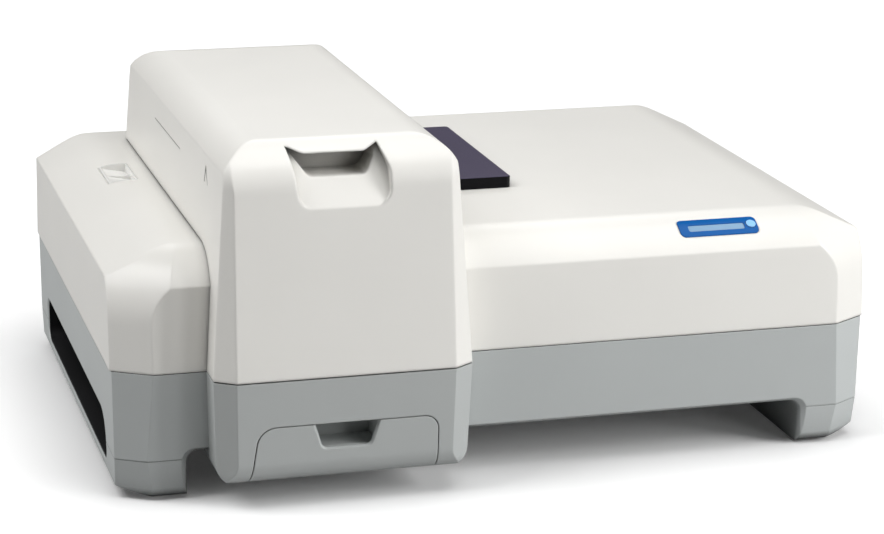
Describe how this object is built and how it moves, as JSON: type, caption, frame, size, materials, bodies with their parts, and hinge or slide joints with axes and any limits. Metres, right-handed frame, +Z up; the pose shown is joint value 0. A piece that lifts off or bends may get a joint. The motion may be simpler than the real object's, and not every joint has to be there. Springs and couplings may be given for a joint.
{
  "type": "uv-vis spectrophotometer",
  "caption": "Bench uv-vis spectrophotometer: grey base on runners, white cover, tall hinged sample compartment lid with finger scoop, access flap and blue status bar.",
  "frame": {"origin": "on the bench under the middle of the overall box", "axes": "+X to the right as seen from the front, -Y towards the user, +Z up"},
  "size_m": [0.622, 0.486, 0.281],
  "materials": {
    "cover_white": "satin moulded, warm white",
    "base_grey": "satin moulded, light grey",
    "black_plastic": "matt moulded, black",
    "strip_violet": "satin dark violet",
    "status_blue": "glossy blue",
    "status_pale": "milky light window",
    "key_blue": "light blue key",
    "rubber": "soft, matt",
    "foam": "closed cell foam",
    "aluminium": "machined",
    "black_anodised": "black anodised",
    "steel": "plain",
    "board": "solder mask green",
    "glass": "polished quartz",
    "mirror": "coated",
    "brass": "plated contact"
  },
  "bodies": {
    "root": {"base_housing": "base_grey", "bay_housing": "base_grey", "beam_splitter": "glass", "bench_mounts": "rubber", "cell_holder_plate": "black_anodised", "chassis_plate": "aluminium", "compartment_tub": "black_plastic", "compartment_windows": "glass", "curved_mirrors": "mirror", "deck_strip": "strip_violet", "deck_tab": "cover_white", "detector_board": "board", "detector_plate": "black_anodised", "detectors": "steel", "fan_frame": "black_plastic", "fan_guard": "steel", "flash_lamp": "steel", "foot_pads": "rubber", "hinge_brackets": "steel", "inlet_contacts": "brass", "key_board": "board", "lamp_housing": "aluminium", "left_grip_liner": "black_plastic", "lid_sensor": "black_plastic", "main_board": "board", "mains_inlet": "black_plastic", "mirror_blocks": "aluminium", "optics_bench": "black_anodised", "power_supply": "aluminium", "power_switch": "black_plastic", "rear_panel": "aluminium", "reference_cell_holder": "black_anodised", "right_grip_liner": "black_plastic", "sample_cell_holder": "black_anodised", "sample_mirror": "mirror", "slit_plates": "black_anodised", "status_bar": "status_blue", "status_light": "status_pale", "stepper_motors": "black_plastic", "thumb_screws": "steel", "top_cover": "cover_white", "tub_gasket": "foam", "usb_ports": "steel", "wheel_bracket": "aluminium"},
    "lid": {"lid_shell": "cover_white", "lid_liner": "black_plastic", "lid_magnet": "steel", "hinge_pins": "steel"},
    "flap": {"access_flap": "base_grey"},
    "standby_key": {"standby_key": "key_blue"},
    "sample_cell": {"sample_cell": "glass"},
    "reference_cell": {"reference_cell": "glass"},
    "filter_wheel": {"filter_wheel": "black_anodised", "order_filters": "glass"},
    "grating_turret": {"grating_turret": "aluminium", "diffraction_grating": "mirror"},
    "rocker": {"power_rocker": "black_plastic"},
    "fan_rotor": {"fan_rotor": "black_plastic"}
  },
  "joints": [
    {"name": "lid_hinge", "type": "hinge", "parent": "root", "child": "lid", "pos_m": [-0.13825, 0.202, 0.207], "axis": [-1, 0, 0], "range_deg": [0, 85]},
    {"name": "flap_hinge", "type": "hinge", "parent": "root", "child": "flap", "pos_m": [-0.1395, -0.22141, 0.021], "axis": [1, 0, 0], "range_deg": [0, 75]},
    {"name": "standby_key_press", "type": "slide", "parent": "root", "child": "standby_key", "axis": [0, 0.4935, -0.8697], "range_m": [0, 0.0008], "stiffness_N_per_m": 500, "springref_m": -0.0006},
    {"name": "sample_cell_lift", "type": "slide", "parent": "root", "child": "sample_cell", "axis": [0, 0, 1], "range_m": [0, 0.045]},
    {"name": "reference_cell_lift", "type": "slide", "parent": "root", "child": "reference_cell", "axis": [0, 0, 1], "range_m": [0, 0.045]},
    {"name": "filter_wheel_spin", "type": "hinge", "parent": "root", "child": "filter_wheel", "pos_m": [0.18, -0.09, 0.122], "axis": [0, 1, 0], "continuous": true},
    {"name": "grating_turn", "type": "hinge", "parent": "root", "child": "grating_turret", "pos_m": [0.124, 0.006, 0.084], "axis": [0, 0, 1], "range_deg": [-35, 35]},
    {"name": "rocker_tilt", "type": "hinge", "parent": "root", "child": "rocker", "pos_m": [0.135, 0.238, 0.074], "axis": [1, 0, 0], "range_deg": [0, 24]},
    {"name": "fan_spin", "type": "hinge", "parent": "root", "child": "fan_rotor", "pos_m": [0.205, 0.2248, 0.074], "axis": [0, 1, 0], "continuous": true}
  ]
}
